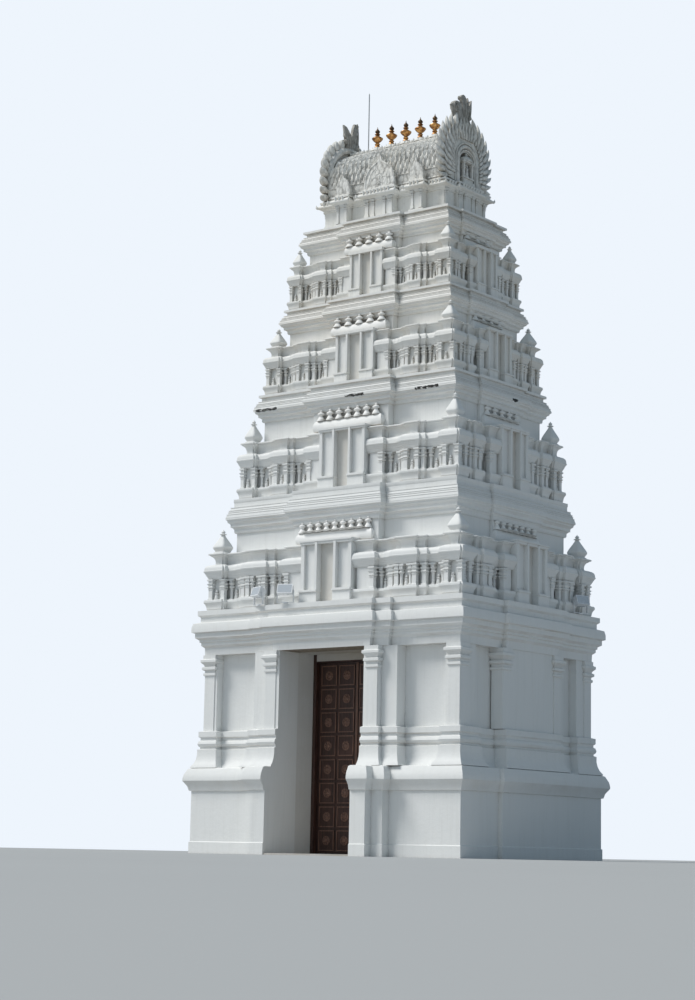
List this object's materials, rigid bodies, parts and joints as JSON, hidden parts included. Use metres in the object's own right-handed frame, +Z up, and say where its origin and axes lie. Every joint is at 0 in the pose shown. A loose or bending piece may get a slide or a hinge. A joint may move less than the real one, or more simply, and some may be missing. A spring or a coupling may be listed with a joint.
{
  "type": "hindu temple gateway tower",
  "caption": "Tall white masonry gateway tower with a moulded plinth, a tall doorway with double doors, stepped tiers with parapets and a barrel-vault roof with gilt finials.",
  "frame": {"origin": "on the ground, at the middle of the plan", "axes": "+Z up, -Y towards the front with the doors, X along the long side and the roof ridge"},
  "size_m": [10.82, 9.25, 24.88],
  "materials": {
    "painted_masonry": "matt white painted plaster over masonry",
    "carved_wood": "dark varnished carved wood",
    "gilt_copper": "weathered gilding",
    "grey_metal": "grey painted metal"
  },
  "bodies": {
    "tower": {"back_left_wall": "painted_masonry", "back_lintel": "painted_masonry", "back_right_wall": "painted_masonry", "door_head": "carved_wood", "floodlight_1": "grey_metal", "floodlight_2": "grey_metal", "floodlight_3": "grey_metal", "front_left_wall": "painted_masonry", "front_lintel": "painted_masonry", "front_right_wall": "painted_masonry", "ground_deck": "painted_masonry", "kalasam_1": "gilt_copper", "kalasam_2": "gilt_copper", "kalasam_3": "gilt_copper", "kalasam_4": "gilt_copper", "kalasam_5": "gilt_copper", "left_gable": "painted_masonry", "left_jamb": "carved_wood", "left_passage_wall": "painted_masonry", "left_wall": "painted_masonry", "lightning_rod": "grey_metal", "passage_ceiling": "painted_masonry", "passage_floor": "painted_masonry", "ridge": "painted_masonry", "right_gable": "painted_masonry", "right_jamb": "carved_wood", "right_passage_wall": "painted_masonry", "right_wall": "painted_masonry", "roof_eave": "painted_masonry", "roof_neck": "painted_masonry", "tier_1_deck": "painted_masonry", "tier_1_parapet": "painted_masonry", "tier_1_walls": "painted_masonry", "tier_2_deck": "painted_masonry", "tier_2_parapet": "painted_masonry", "tier_2_walls": "painted_masonry", "tier_3_deck": "painted_masonry", "tier_3_parapet": "painted_masonry", "tier_3_walls": "painted_masonry", "tier_4_deck": "painted_masonry", "tier_4_parapet": "painted_masonry", "tier_4_walls": "painted_masonry", "vault": "painted_masonry"},
    "left_door": {"left_door": "carved_wood"},
    "right_door": {"right_door": "carved_wood"}
  },
  "joints": [
    {"name": "left_door_hinge", "type": "hinge", "parent": "tower", "child": "left_door", "pos_m": [-1.463, -1.988, 0.058], "axis": [0, 0, 1], "range_deg": [0, 90]},
    {"name": "right_door_hinge", "type": "hinge", "parent": "tower", "child": "right_door", "pos_m": [1.463, -1.988, 0.058], "axis": [0, 0, -1], "range_deg": [0, 90]}
  ]
}
